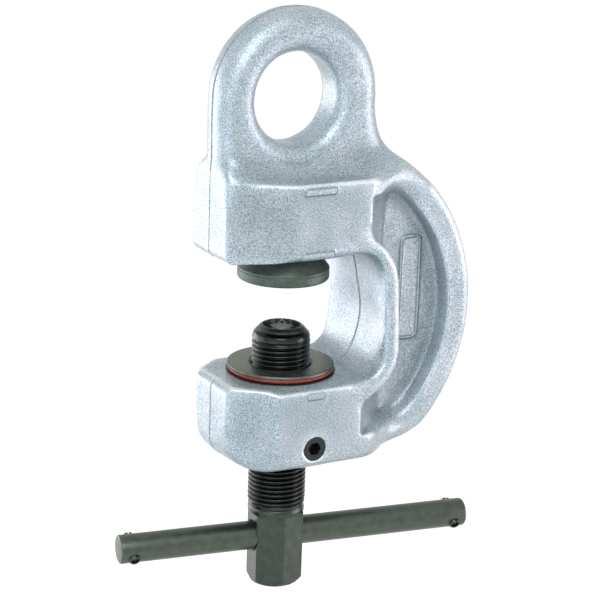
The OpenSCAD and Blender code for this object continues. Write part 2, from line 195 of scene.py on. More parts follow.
def bakedModifiers(piece):
    # the shape after its modifiers, as a plain mesh
    depsgraph = bpy.context.evaluated_depsgraph_get()
    mesh = bpy.data.meshes.new_from_object(piece.evaluated_get(depsgraph))
    bpy.data.objects.remove(piece)
    return mesh


# camera, lights and floor
print("stage: camera and light")
cameraView = {
    "lens": 119.68,          # mm on a 36 mm sensor
    "distance": 808.1,       # mm from the aimed point
    "yaw": 29.37, "pitch": 16.16, "roll": -1.97,   # degrees
    "aimRight": 6.76, "aimHeight": -83.49,         # mm
}


def makeCamera(view):
    yaw, pitch, roll = (math.radians(view[k]) for k in ("yaw", "pitch", "roll"))
    forward = Vector((math.sin(yaw) * math.cos(pitch), math.cos(yaw) * math.cos(pitch), -math.sin(pitch)))
    right = Vector((math.cos(yaw), -math.sin(yaw), 0))
    up = right.cross(forward)
    rolledRight = math.cos(roll) * right - math.sin(roll) * up
    rolledUp = math.sin(roll) * right + math.cos(roll) * up
    aim = right * view["aimRight"] * mm + Vector((0, 0, view["aimHeight"] * mm))
    place = aim - forward * view["distance"] * mm
    data = bpy.data.cameras.new("photoCamera")
    data.lens = view["lens"]
    data.sensor_width = 36
    data.clip_start = 0.01
    camera = bpy.data.objects.new("photoCamera", data)
    bpy.context.scene.collection.objects.link(camera)
    columns = [rolledRight, rolledUp, -forward, place]
    camera.matrix_world = Matrix([[c[i] for c in columns] for i in range(3)] + [[0, 0, 0, 1]])
    bpy.context.scene.camera = camera


makeCamera(cameraView)

# soft square lamps all round the clamp, metres from the aimed point
lampRig = {"distance": 1.25, "size": 0.75, "aim": (0, 0, -0.08)}
# name, compass angle from +X and height in degrees, watts, tint
lampRows = [
    ("backLeftSoftbox", 120, -5, 6.6, "#fff6f8"),
    ("leftSoftbox", 150, -5, 3.8, "#e4f2ff"),
    ("leftFrontSoftbox", 210, -5, 2.6, "#dcebff"),
    ("rightSoftbox", 330, -5, 7.4, "#fcf0f6"),
    ("highFrontSoftbox", 240, 42, 10.0, "#f6fcfb"),
]


def makeLamp(rig, name, compass, height, watts, tint):
    data = bpy.data.lights.new(name, "AREA")
    data.shape = "SQUARE"
    data.size = rig["size"]
    data.energy = watts
    data.color = linearColour(tint)[:3]
    lamp = bpy.data.objects.new(name, data)
    bpy.context.scene.collection.objects.link(lamp)
    around, upward = math.radians(compass), math.radians(height)
    level = math.cos(upward)
    away = Vector((math.cos(around) * level, math.sin(around) * level, math.sin(upward)))
    lamp.location = Vector(rig["aim"]) + away * rig["distance"]
    lamp.rotation_euler = (-away).to_track_quat("-Z", "Y").to_euler()


for row in lampRows:
    makeLamp(lampRig, *row)


def whiteRays(tree):
    # 1 for the rays that show the white studio: straight to it, through glass or off a shiny surface
    path = addNode(tree, "LightPath")
    direct = addNode(tree, "Math", operation="MAXIMUM",
                     links={0: path.outputs["Is Camera Ray"], 1: path.outputs["Is Transmission Ray"]})
    shown = addNode(tree, "Math", operation="MAXIMUM",
                    links={0: direct, 1: path.outputs["Is Glossy Ray"]})
    return shown


studio = {
    "ambientTint": "#d8e6f0", "ambientStrength": 0.04,
    # the clamp hangs from its eye, so the floor is well below it; metres
    "floorHeight": -0.50, "floorWidth": 12.0, "paper": "#ecece9",
    # the glow lifts the paper to white, and near the clamp its shadow stays on it
    "glowReach": (0.7, 2.4), "glow": (0.84, 1.0),
}
world = bpy.data.worlds.new("paleStudio")
bpy.context.scene.world = world
world.use_nodes = True
worldTree = world.node_tree
worldTree.nodes.clear()
ambientLight = addNode(worldTree, "Background", {"Color": linearColour(studio["ambientTint"]),
                                                 "Strength": studio["ambientStrength"]})
whiteBackdrop = addNode(worldTree, "Background", {"Color": (1, 1, 1, 1), "Strength": 1.0})
worldMix = addNode(worldTree, "MixShader", links={0: whiteRays(worldTree), 1: ambientLight, 2: whiteBackdrop})
addNode(worldTree, "OutputWorld", links={"Surface": worldMix})


def palePaper(look):
    # uncoated studio paper: flat, nearly white, with no shine
    material, tree = startMaterial("palePaperFloor")
    paper = addNode(tree, "BsdfDiffuse", {"Color": linearColour(look["paper"])})
    place = addNode(tree, "TexCoord")
    reach = addNode(tree, "VectorMath", links={0: place.outputs["Object"]}, operation="LENGTH")
    strength = addNode(tree, "MapRange", limits(look["glowReach"], look["glow"]),
                       {"Value": reach.outputs["Value"]})
    glow = addNode(tree, "Emission", {"Color": (1, 1, 1, 1)}, {"Strength": strength})
    lifted = addNode(tree, "AddShader", links={0: paper, 1: glow})
    mixed = addNode(tree, "MixShader", links={0: whiteRays(tree), 1: paper, 2: lifted})
    addNode(tree, "OutputMaterial", links={"Surface": mixed})
    return material


def makeFloor(look):
    half, height = look["floorWidth"] / 2, look["floorHeight"]
    mesh = bpy.data.meshes.new("paperFloor")
    corners = [(-half, -half), (half, -half), (half, half), (-half, half)]
    mesh.from_pydata([(x, y, height) for x, y in corners], [], [(0, 1, 2, 3)])
    return placeObject("paperFloor", mesh, palePaper(look), smooth=False)


floor = makeFloor(studio)


# finishes
print("stage: finishes")
# sizes in mm; a pair is a range, and tones are two places on a ramp with their colours
paintLook = {
    # shot leaves dents of 0.2 to 0.4 mm; they are drawn at 0.45 mm, the finest that shows
    "fineGrain": 0.45, "fineGrainHeight": 0.10,
    "grain": 1.1, "grainHeight": 0.26, "clouds": 16.0,
    "grainTones": ((0.39, "#84959f"), (0.61, "#e0e7ee")),
    "cloudTones": ((0.35, "#e4ebea"), (0.70, "#ffffff")),
    # painted highlight on the edges and painted shade in the corners
    "edges": (0.08, 0.36), "edgeHighlightShare": 0.8, "edgeHighlightTones": ((0.35, "#d8e0e4"), (0.60, "#fbfdff")),
    "corners": (-0.08, -0.5), "cornerShadeShare": 0.35, "cornerShadeTone": "#8c9ba4",
    # painted light on the broad forms: what stands out is drawn brighter, the hollows darker as painted shade
    "forms": (-0.6, 0.6), "formLightGain": (0.78, 1.24),
    # the line where the two dies met, drawn darker in uneven patches
    "seamPatches": 9.0, "seamPatchy": (0.36, 0.52), "seamShare": (0.2, 0.8), "seamTone": "#68747c",
    # the raised marks and the panel's border, each outlined with painted shade
    "markSlope": 0.4, "markHeight": 0.5, "markShadeLine": (0.2, 0.8), "markShadeShare": 0.40, "markShadeTone": "#7d8b94",
    "roughness": (0.24, 0.38), "metallic": 0.26, "ior": 1.5,
}


def silverForgingPaint(look):
    # aluminium-silver paint sprayed on a shot-blasted drop forging:
    # a pale, softly shining grey with the sandy grain of the blasting showing through
    material, tree = startMaterial("silverForgingPaint")
    place = addNode(tree, "TexCoord")
    where = {"Vector": place.outputs["Object"]}
    grain = addNode(tree, "TexNoise", {"Scale": 1 / (look["grain"] * mm), "Detail": 4.0,
                                       "Roughness": 0.75}, where)
    fineGrain = addNode(tree, "TexNoise", {"Scale": 1 / (look["fineGrain"] * mm), "Detail": 2.0,
                                           "Roughness": 0.7}, where)
    clouds = addNode(tree, "TexNoise", {"Scale": 1 / (look["clouds"] * mm), "Detail": 3.0}, where)
    grainTone = addNode(tree, "ValToRGB", links={"Fac": fineGrain}, tones=look["grainTones"])
    cloudTone = addNode(tree, "ValToRGB", links={"Fac": clouds}, tones=look["cloudTones"])
    colour = addNode(tree, "Mix", {0: 1.0}, {6: grainTone, 7: cloudTone},
                     data_type="RGBA", blend_type="MULTIPLY")

    # painted highlight on the edges and painted shade in the corners, read from the stored edge attribute
    edges = addNode(tree, "Attribute", attribute_name="paintedEdgeLight")
    edgeHighlight = addNode(tree, "MapRange", limits(look["edges"], (0, look["edgeHighlightShare"])),
                     {"Value": edges.outputs["Fac"]}, interpolation_type="SMOOTHSTEP")
    cornerShade = addNode(tree, "MapRange", limits(look["corners"], (0, look["cornerShadeShare"])),
                   {"Value": edges.outputs["Fac"]})
    edgeHighlightTone = addNode(tree, "ValToRGB", links={"Fac": fineGrain}, tones=look["edgeHighlightTones"])
    edgeHighlighted = addNode(tree, "Mix", links={0: edgeHighlight, 6: colour.outputs[2], 7: edgeHighlightTone}, data_type="RGBA")
    cornerShaded = addNode(tree, "Mix", {7: linearColour(look["cornerShadeTone"])},
                       {0: cornerShade, 6: edgeHighlighted.outputs[2]}, data_type="RGBA", blend_type="MULTIPLY")

    # painted light on the broad forms and the throat's bed: brighter where they stand out, darker in the
    # hollows
    broad = addNode(tree, "Attribute", attribute_name="paintedFormLight")
    formLight = addNode(tree, "MapRange", limits(look["forms"], look["formLightGain"]),
                   {"Value": broad.outputs["Fac"]})
    formLit = addNode(tree, "VectorMath", links={0: cornerShaded.outputs[2], "Scale": formLight}, operation="SCALE")

    seam = addNode(tree, "Attribute", attribute_name="dieSeam")
    patches = addNode(tree, "TexNoise", {"Scale": 1 / (look["seamPatches"] * mm), "Detail": 2.0}, where)
    seamShare = addNode(tree, "MapRange", limits(look["seamPatchy"], look["seamShare"]), {"Value": patches})
    seamFactor = addNode(tree, "Math", links={0: seam.outputs["Fac"], 1: seamShare}, operation="MULTIPLY")
    seamed = addNode(tree, "Mix", {7: linearColour(look["seamTone"])},
                     {0: seamFactor, 6: formLit}, data_type="RGBA")

    # the marks' edges are sharper here than the surface's mesh could carry them
    marks = addNode(tree, "Attribute", attribute_name="markEdge")
    slope = look["markSlope"] * mm
    raised = addNode(tree, "MapRange", limits((slope, -slope), (0, 1)),
                     {"Value": marks.outputs["Fac"]}, interpolation_type="SMOOTHSTEP")
    # a dark outline along each mark's edge: painted shade
    away = addNode(tree, "Math", links={0: marks.outputs["Fac"]}, operation="ABSOLUTE")
    shadeLineEdge = [reach * mm for reach in look["markShadeLine"]]
    line = addNode(tree, "MapRange", limits(shadeLineEdge, (look["markShadeShare"], 0)),
                   {"Value": away}, interpolation_type="SMOOTHSTEP")
    markShaded = addNode(tree, "Mix", {7: linearColour(look["markShadeTone"])},
                     {0: line, 6: seamed.outputs[2]}, data_type="RGBA")

    rough = addNode(tree, "MapRange", limits((0.3, 0.7), look["roughness"]), {"Value": grain})
    markBump = addNode(tree, "Bump", {"Strength": 1.0, "Distance": look["markHeight"] * mm},
                       {"Height": raised})
    grainBump = addNode(tree, "Bump", {"Strength": 0.5, "Distance": look["grainHeight"] * mm},
                        {"Height": grain, "Normal": markBump})
    fineBump = addNode(tree, "Bump", {"Strength": 0.5, "Distance": look["fineGrainHeight"] * mm},
                       {"Height": fineGrain, "Normal": grainBump})
    shader = addNode(tree, "BsdfPrincipled", {"Metallic": look["metallic"], "IOR": look["ior"]},
                     {"Base Color": markShaded.outputs[2], "Roughness": rough, "Normal": fineBump})
    addNode(tree, "OutputMaterial", links={"Surface": shader})
    return material


# steel blackened in a hot oxide bath, in mm; what the pieces share unless they say otherwise
oxideSkin = {
    "blotches": 3.5, "specks": 0.5, "speckHeight": 0.05,   # of the bath, and of dust
    "marks": (0.35, 0.03), "drawnOut": 0.02,   # the tool's: spacing and height, and their squeeze across
    "metallic": 0.85, "oil": 0.0, "oilRoughness": 0.12,
}
oxideLooks = {
    # tumbled and well oiled: near-black teeth with soft glints
    "oiledTipOxide": {"dark": "#20241f", "light": "#333a34", "roughness": (0.30, 0.45),
                      "metallic": 0.6, "oil": 0.15},
    # the blackest: the set screw's own oxide, and painted shade on the bush's seat under the red ring
    "blackSocketAndSeatShadeOxide": {"dark": "#141715", "light": "#232825", "roughness": (0.30, 0.45),
                         "metallic": 0.45, "oil": 0.15},
    # a cut thread: darker towards its valleys, near-black at their bottom, as painted shade
    "oiledThreadOxide": {"dark": "#232822", "light": "#383f38", "roughness": (0.16, 0.28),
                         "metallic": 0.8, "oil": 0.2, "valleyShadeTone": "#0c0e0c", "valleyShade": (11.2, 12.0)},
    # turned and worn by plates: a paler grey-green, satin
    "turnedBushOxide": {"dark": "#555b51", "light": "#6c7268", "roughness": (0.32, 0.50),
                        "marks": (0.30, 0.03)},
    # milled flats: a tighter sheen, with the cutter's coarser marks
    "milledHeadOxide": {"dark": "#39403a", "light": "#454c46", "roughness": (0.24, 0.34),
                        "marks": (0.90, 0.10), "metallic": 0.95},
    # drawn bar, worn by the hand: an even grey-green
    "drawnBarOxide": {"dark": "#4b524b", "light": "#565e55", "roughness": (0.30, 0.42),
                      "marks": (0.50, 0.03)},
    # rolled spring strip: darker, smooth
    "hardenedSpringSteel": {"dark": "#2c312d", "light": "#484f49", "roughness": (0.28, 0.40),
                            "marks": (0.30, 0.02)},
    # turned coarsely: dull, with faint rings
    "turnedPadOxide": {"dark": "#47514b", "light": "#5a645d", "roughness": (0.42, 0.56),
                       "marks": (0.60, 0.06)},
}


def oxideSteel(name, look):
    # near-black with a green cast and a soft sheen, the cutter's marks running round it
    material, tree = startMaterial(name)
    place = addNode(tree, "TexCoord")
    where = {"Vector": place.outputs["Object"]}
    blotches = addNode(tree, "TexNoise", {"Scale": 1 / (look["blotches"] * mm), "Detail": 5.0,
                                          "Roughness": 0.65}, where)
    specks = addNode(tree, "TexNoise", {"Scale": 1 / (look["specks"] * mm), "Detail": 2.0}, where)
    tone = addNode(tree, "ValToRGB", links={"Fac": blotches},
                   tones=((0.35, look["dark"]), (0.68, look["light"])))
    rough = addNode(tree, "MapRange", limits((0.3, 0.7), look["roughness"]), {"Value": blotches})
    spacing, height = look["marks"]
    drawnOut = addNode(tree, "Mapping", {"Scale": (look["drawnOut"], look["drawnOut"], 1.0)}, where)
    marks = addNode(tree, "TexNoise", {"Scale": 1 / (spacing * mm), "Detail": 2.0}, {"Vector": drawnOut})
    markBump = addNode(tree, "Bump", {"Strength": 0.6, "Distance": height * mm}, {"Height": marks})
    speckBump = addNode(tree, "Bump", {"Strength": 0.35, "Distance": look["speckHeight"] * mm},
                        {"Height": specks, "Normal": markBump})
    colour = tone
    if "valleyShade" in look:
        # the distance from the screw's axis tells crest from valley; the valleys get painted shade
        parts = addNode(tree, "SeparateXYZ", links=where)
        flat = addNode(tree, "CombineXYZ", links={"X": parts.outputs["X"], "Y": parts.outputs["Y"]})
        radius = addNode(tree, "VectorMath", links={0: flat}, operation="LENGTH")
        valleyShade = addNode(tree, "MapRange", limits([reach * mm for reach in look["valleyShade"]], (0, 1)),
                         {"Value": radius.outputs["Value"]}, interpolation_type="SMOOTHSTEP")
        valleyShaded = addNode(tree, "Mix", {6: linearColour(look["valleyShadeTone"])},
                       {0: valleyShade, 7: colour}, data_type="RGBA")
        colour = valleyShaded.outputs[2]
    shader = addNode(tree, "BsdfPrincipled", {
        "Metallic": look["metallic"], "Coat Weight": look["oil"], "Coat Roughness": look["oilRoughness"]}, {
        "Base Color": colour, "Roughness": rough, "Normal": speckBump})
    addNode(tree, "OutputMaterial", links={"Surface": shader})
    return material


rubberLook = {"dust": 1.2, "dustHeight": 0.05, "tones": ((0.35, "#8c352b"), (0.70, "#a94c40")),
              "roughness": 0.5, "ior": 1.52}


def redSealRubber(look):
    # moulded rubber ring: matte, slightly dusty red
    material, tree = startMaterial("redSealRubber")
    place = addNode(tree, "TexCoord")
    dust = addNode(tree, "TexNoise", {"Scale": 1 / (look["dust"] * mm), "Detail": 3.0},
                   {"Vector": place.outputs["Object"]})
    tone = addNode(tree, "ValToRGB", links={"Fac": dust}, tones=look["tones"])
    bump = addNode(tree, "Bump", {"Strength": 0.3, "Distance": look["dustHeight"] * mm}, {"Height": dust})
    shader = addNode(tree, "BsdfPrincipled", {"Roughness": look["roughness"], "IOR": look["ior"]},
                     {"Base Color": tone, "Normal": bump})
    addNode(tree, "OutputMaterial", links={"Surface": shader})
    return material


forgingPaint = silverForgingPaint(paintLook)
oxides = {name: oxideSteel(name, {**oxideSkin, **look}) for name, look in oxideLooks.items()}
sealRubber = redSealRubber(rubberLook)


# the forged frame
print("stage: forged frame")
# sizes in mm; a pair in a zone is where one of its soft edges starts and ends
forging = {
    "voxel": 0.6,             # mesh size of the remade surface
    "softening": 6,           # smoothing passes over the whole forging
    "throatEdge": ((-9.5, 34.4), (-113.6, -62.8), 9.5),   # x and z limits, corner radius
    # the throat's flange is a thick round bead
    "flangeSoftening": 110,
    "flangeZone": {"inner": (-3, -1), "outer": (10, 14), "side": (7, 10), "front": (16, 26)},
    # inside the throat its hollow meets its corners
    "throatSoftening": 300,
    "throatZone": {"side": (19, 23), "front": (17, 23), "back": (40, 42), "low": (-114, -111),
                   "high": (-65, -62)},
    # the web pocket's outer wall, an arc about (x, z)
    "wallSoftening": 30,
    "wallZone": {"middle": (6.6, -90), "radius": 63, "away": (2, 6), "front": (47, 50), "side": (10, 13)},
    # the lowest edges, but not round the screw or the set screw
    "chinSoftening": 110,
    "chinZone": {"high": (-143, -139), "screw": (20, 23), "back": (40, 46), "setScrew": (5, 8)},
    # where the fillets are widest: middle (y counts on both sides), reach, smoothing passes
    "softSpots": [((-31, 12, -29), 14, 80), ((46, 14, -27), 20, 200), ((26, 14, -111), 16, 50),
                  ((44, 13, -136), 20, 200), ((42, 12, -44), 13, 120), ((42, 12, -124), 13, 100),
                  ((-31, 13, -141), 12, 80), ((48, 11, -147), 15, 160)],
    "waves": 0.05, "waveSize": 14, "waveSeed": 4,          # unevenness of the hammered surface
    # the upper die's half stands a little proud, with a fine line between the halves
    "seamStep": 0.16, "seamRise": 0.4, "seamFade": (1, 5),
    "seamGroove": 0.22, "grooveWidth": (0.1, 0.45), "seamWidth": (0.1, 0.5),
    "seamLoops": (-0.5, -0.2, 0.0, 0.2, 0.5),              # edge loops that keep the line crisp
    "seamTurn": (0.25, 0.6),  # how far a face may turn to the front or back and still carry the line
    # it is machined away on top of the lower jaw and in the eye's bore
    "plainTop": (0.6, 0.9), "plainTopBelow": -100, "plainBore": 22,
    # and weaker below the eye, and this near the throat's edge from this x back
    "faintSeam": 0.55, "faintBelow": -28, "faintInThroat": (2, 17),
    # raised bars on the jaws' front faces: x and z limits, and how proud they stand
    "bars": [((-3.8, 10.6), (-35.8, -33.1), 0.6), ((-4.0, 10.5), (-62.0, -58.9), 0.65),
             ((-2.0, 6.2), (-118.8, -116.1), 0.7)],
    "barCorner": 1.0, "barSlope": (-0.2, 1.0),             # the slope's two ends, from the bar's edge out
    # the blank panel on the web keeps a raised border
    "panel": ((50.6, 60.8), (-105.0, -60.2)), "panelCorner": 3.0, "sink": 0.35, "sinkEdge": (0.7, 1.7),
    "border": 1.2, "borderMiddle": 0.5,
    "frontTurn": (0.5, 0.7),  # how far a face is turned to the front before it carries them
    "unmarked": 2.0,          # distance from the marks that is given to all other faces
    # edge mask, for the painted highlight on edges and painted shade in corners: smoothing passes of the form
    # that it is measured from, height that counts as 1, blur
    "edgePasses": 16, "edgeHeight": 0.55, "edgeBlur": 4,
    # the painted highlight is strongest on the edges that face up or out, where the light catches them, and
    # the others get this share
    "edgeLeast": 0.3, "edgeTurn": (-0.1, 0.5), "edgeSideways": 0.7,
    # the same for the painted light and shade on the broad forms
    "broadPasses": 90, "broadHeight": 1.3, "broadWeight": 0.7,
    # a painted highlight on the middle of the throat's bed
    "bedHighlight": 0.55,
    "bedHighlightZone": {"throat": (0, 3), "front": (17, 26), "low": (-112, -104), "high": (-88, -72)},
}


def softWaves(points, size, seed, count=24):
    # smooth seeded waviness, about -1 to 1
    rng = np.random.default_rng(seed)
    total = np.zeros(len(points))
    for i in range(count):
        direction = rng.normal(size=3)
        direction /= np.linalg.norm(direction)
        length = size * rng.uniform(0.6, 1.8)
        total += np.sin(points @ direction * 2 * math.pi / length + rng.uniform(0, 2 * math.pi))
    return total / math.sqrt(count)


def rise(edge, values):
    # 0 up to the pair's first value, 1 from its second, eased between them
    share = np.clip((values - edge[0]) / (edge[1] - edge[0]), 0, 1)
    return share * share * (3 - 2 * share)


def fall(edge, values):
    # the other way round: 1 up to the pair's first value, 0 from its second
    return 1 - rise(edge, values)


def neighbourLinks(mesh):
    edges = np.zeros(len(mesh.edges) * 2, np.int64)
    mesh.edges.foreach_get("vertices", edges)
    edges = edges.reshape(-1, 2)
    return np.concatenate([edges[:, 0], edges[:, 1]]), np.concatenate([edges[:, 1], edges[:, 0]])


def smoothed(values, links, weight, passes):
    # each value drawn towards the mean of its neighbours, only where the weight isn't 0
    values = values.copy()
    active = np.flatnonzero(weight > 0.001)
    rank = np.full(len(values), -1)
    rank[active] = np.arange(len(active))
    starts, ends = links
    inside = rank[starts] >= 0
    starts, ends = rank[starts[inside]], ends[inside]
    counts = np.maximum(np.bincount(starts, minlength=len(active)), 1)
    share = weight[active, None]
    for i in range(passes):
        sums = [np.bincount(starts, column[ends], len(active)) for column in values.T]
        values[active] += (np.stack(sums, 1) / counts[:, None] - values[active]) * share
    return values


def readPoints(mesh, attribute="co"):
    values = np.zeros(len(mesh.vertices) * 3)
    mesh.vertices.foreach_get(attribute, values)
    return values.reshape(-1, 3)


def writePoints(mesh, points):
    mesh.vertices.foreach_set("co", (points * mm).ravel())
    mesh.update()


def storeAttribute(mesh, name, values):
    layer = mesh.attributes.new(name, "FLOAT", "POINT")
    layer.data.foreach_set("value", values.astype(np.float32))


def fromBox(x, z, xLimits, zLimits, corner):
    # distance outside a rectangle with round corners, negative inside it
    beyondX = np.abs(x - sum(xLimits) / 2) - (xLimits[1] - xLimits[0]) / 2 + corner
    beyondZ = np.abs(z - sum(zLimits) / 2) - (zLimits[1] - zLimits[0]) / 2 + corner
    outside = np.hypot(np.maximum(beyondX, 0), np.maximum(beyondZ, 0))
    return outside + np.minimum(np.maximum(beyondX, beyondZ), 0) - corner


def remadeFrame(voxel):
    piece = bpy.data.objects.new("forgingWork", frame["nodes"]["clamp_body"].data.copy())
    bpy.context.scene.collection.objects.link(piece)
    remesh = piece.modifiers.new("remesh", "REMESH")
    remesh.mode = "VOXEL"
    remesh.voxel_size = voxel * mm
    return bakedModifiers(piece)


def softenedForging(mesh, f):
    # wide, soft fillets where a forging has them, each zone with its own count of passes
    points = readPoints(mesh) / mm
    links = neighbourLinks(mesh)
    x, y, z = points.T
    side = np.abs(y)

    def soften(share, passes):
        # each pass goes half the way to the neighbours' mean
        return smoothed(points, links, 0.5 * share, passes)

    points = soften(np.ones(len(points)), f["softening"])

    zone = f["flangeZone"]
    beyondThroat = fromBox(x, z, *f["throatEdge"])
    onFlange = rise(zone["inner"], beyondThroat) * fall(zone["outer"], beyondThroat) \
        * rise(zone["side"], side) * rise(zone["front"], x)
    points = soften(onFlange, f["flangeSoftening"])

    zone = f["throatZone"]
    inThroat = fall(zone["side"], side) * fall(zone["back"], x) * rise(zone["front"], x) \
        * rise(zone["low"], z) * fall(zone["high"], z)
    points = soften(inThroat, f["throatSoftening"])

    zone = f["wallZone"]
    fromMiddle = np.hypot(x - zone["middle"][0], z - zone["middle"][1])
    atWall = fall(zone["away"], np.abs(fromMiddle - zone["radius"])) * rise(zone["front"], x) \
        * fall(zone["side"], side)
    points = soften(atWall, f["wallSoftening"])

    zone = f["chinZone"]
    screwX, screwZ = (sum(corner[i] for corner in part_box("bush_set_screw")) / 2 / mm for i in (0, 2))
    atChin = fall(zone["high"], z) * rise(zone["screw"], np.hypot(x, y)) * fall(zone["back"], x) \
        * rise(zone["setScrew"], np.hypot(x - screwX, z - screwZ))
    points = soften(atChin, f["chinSoftening"])

    for (spotX, spotY, spotZ), reach, passes in f["softSpots"]:
        away = np.sqrt((x - spotX) ** 2 + (side - spotY) ** 2 + (z - spotZ) ** 2)
        points = soften(fall((0.5 * reach, reach), away), passes)
    return points


def cutSeamLoops(mesh, offsets):
    work = bmesh.new()
    work.from_mesh(mesh)
    for offset in offsets:
        bmesh.ops.bisect_plane(work, geom=work.verts[:] + work.edges[:] + work.faces[:],
                               plane_co=(0, offset * mm, 0), plane_no=(0, 1, 0), dist=0.01 * mm)
    work.to_mesh(mesh)
    work.free()
    mesh.update()


def storeForms(mesh, points, normals, bedHighlightMask, f):
    # how far each place stands out of a smoothed form, for the painted highlight on edges and the painted
    # shade in corners and hollows
    links = neighbourLinks(mesh)
    halfWay = np.full(len(points), 0.5)
    softForm = smoothed(points, links, halfWay, f["edgePasses"])
    standing = np.sum((points - softForm) * normals, axis=1) / f["edgeHeight"]
    turned = normals[:, 2] + f["edgeSideways"] * normals[:, 0]
    standing *= f["edgeLeast"] + (1 - f["edgeLeast"]) * rise(f["edgeTurn"], turned)
    standing = smoothed(np.clip(standing, -1, 1)[:, None], links, halfWay, f["edgeBlur"])[:, 0]
    storeAttribute(mesh, "paintedEdgeLight", standing)

    softForm = smoothed(softForm, links, np.full(len(points), f["broadWeight"]), f["broadPasses"])
    standing = np.sum((points - softForm) * normals, axis=1) / f["broadHeight"]
    storeAttribute(mesh, "paintedFormLight", np.clip(standing + f["bedHighlight"] * bedHighlightMask, -1, 1))


def makeForging(f):
    mesh = remadeFrame(f["voxel"])
    writePoints(mesh, softenedForging(mesh, f))
    cutSeamLoops(mesh, f["seamLoops"])
    points = readPoints(mesh) / mm
    normals = readPoints(mesh, "normal")
    x, y, z = points.T
    side = np.abs(y)
    beyondThroat = fromBox(x, z, *f["throatEdge"])

    # unevenness, the seam's step and groove, the raised bars and the panel
    lift = f["waves"] * softWaves(points, f["waveSize"], f["waveSeed"])
    onLowerTop = rise(f["plainTop"], normals[:, 2]) * (z < f["plainTopBelow"])
    seamed = fall(f["seamTurn"], np.abs(normals[:, 1])) * (1 - onLowerTop) \
        * (np.hypot(x, z) > f["plainBore"])
    lift += seamed * f["seamStep"] * rise((0, f["seamRise"]), y) * fall(f["seamFade"], y)
    lift -= seamed * f["seamGroove"] * fall(f["grooveWidth"], side)
    facingFront = rise(f["frontTurn"], -normals[:, 1])
    markEdge = np.full(len(points), f["unmarked"])
    for xLimits, zLimits, proud in f["bars"]:
        outside = fromBox(x, z, xLimits, zLimits, f["barCorner"])
        lift += proud * fall(f["barSlope"], outside) * facingFront
        markEdge = np.minimum(markEdge, outside)
    inside = -fromBox(x, z, *f["panel"], f["panelCorner"])
    lift -= f["sink"] * rise(f["sinkEdge"], inside) * facingFront
    markEdge = np.minimum(markEdge, np.abs(inside - f["borderMiddle"]) - f["border"] / 2)
    markEdge = np.where(facingFront > 0.5, markEdge, f["unmarked"])
    points = points + normals * lift[:, None]
    low, high = (np.array(corner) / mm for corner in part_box("clamp_body"))
    points = np.clip(points, low, high)
    writePoints(mesh, points)

    # what the paint reads at each point, painted light and shade included
    zone = f["bedHighlightZone"]
    bedHighlightMask = fall(zone["throat"], beyondThroat) * rise(zone["front"], x) * fall(zone["high"], z) \
        * rise(zone["low"], z)
    storeForms(mesh, points, normals, bedHighlightMask, f)
    reach, front = f["faintInThroat"]
    faint = ((beyondThroat < reach) & (x > front)) | (z < f["faintBelow"])
    seamLine = seamed * fall(f["seamWidth"], side) * np.where(faint, f["faintSeam"], 1.0)
    storeAttribute(mesh, "dieSeam", seamLine)
    storeAttribute(mesh, "markEdge", markEdge * mm)
    return mesh


forgedFrame = placeObject("forgedFrame", makeForging(forging), forgingPaint)
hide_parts("clamp_body")
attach(forgedFrame, "frame")


# bush, red ring and set screw
print("stage: bush")
lowerJaw, upperJaw = forging["throatEdge"][1]
bushWidth, bushBottom, flangeTop = roundSize("nut_bush")
bush = {
    # diameters and heights in mm
    "bore": 24.1, "body": 36.0, "width": bushWidth, "bottom": bushBottom, "top": lowerJaw,
    "flangeTop": flangeTop, "lip": 0.45, "lipReach": 0.6,   # the lip is the flange's foot under the ring
    "mouthWidth": 1.4, "mouthDepth": 1.2,      # the bore's chamfer
    "radii": (0, 0.6, 0, 0.15, 0.15, 0.1, 0.1, 0.1, 0.45, 0.25, 0.25, 0),   # of its corners in turn
    "ring": 1.9, "ringRadius": 20.85,          # the ring's thickness and the middle of its section
    "seatShadeShare": 0.6,                          # of the ring's height, as far as the seat is drawn black as painted shade
}


def makeBush(b):
    bore, body, lip = b["bore"] / 2, b["body"] / 2, b["width"] / 2
    flange, seat, upper = lip - b["lipReach"], b["top"] + b["lip"], b["flangeTop"]
    ringIn = b["ringRadius"] - b["ring"] / 2
    corners = [
        (bore, b["bottom"]), (body, b["bottom"]), (body, b["top"]), (lip, b["top"]), (lip, seat),
        (ringIn, seat), (ringIn, seat + b["ring"]), (flange, seat + b["ring"]), (flange, upper),
        (bore + b["mouthWidth"], upper), (bore, upper - b["mouthDepth"]), (bore, b["bottom"]),
    ]
    return turnedMesh("threadedBush", roundCorners(corners, b["radii"]), 128)


threadedBush = placeObject("threadedBush", outwardFaces(makeBush(bush)), oxides["turnedBushOxide"])
threadedBush.data.materials.append(oxides["blackSocketAndSeatShadeOxide"])
seatShadeTop = (bush["top"] + bush["lip"] + bush["ring"] * bush["seatShadeShare"]) * mm
for face in threadedBush.data.polygons:
    # the seat under the ring is drawn black: painted shade under the ring
    face.material_index = int(face.center.z < seatShadeTop)
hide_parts("nut_bush")
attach(threadedBush, "frame")


def makeRing(b, steps=24):
    middle = b["top"] + b["lip"] + b["ring"] / 2
    turns = [2 * math.pi * s / steps for s in range(steps)] + [0.0]
    half = b["ring"] / 2
    section = [(b["ringRadius"] + half * math.cos(turn), middle + half * math.sin(turn)) for turn in turns]
    return turnedMesh("redRing", section, 128)


redRing = placeObject("redRing", outwardFaces(makeRing(bush)), sealRubber)
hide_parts("bush_seal_ring")
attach(redRing, "frame")


# widths in mm, and the least angle in degrees that gets a bevel
dressing = {"weld": 0.001, "bevel": 0.35, "segments": 2, "leastAngle": 40}


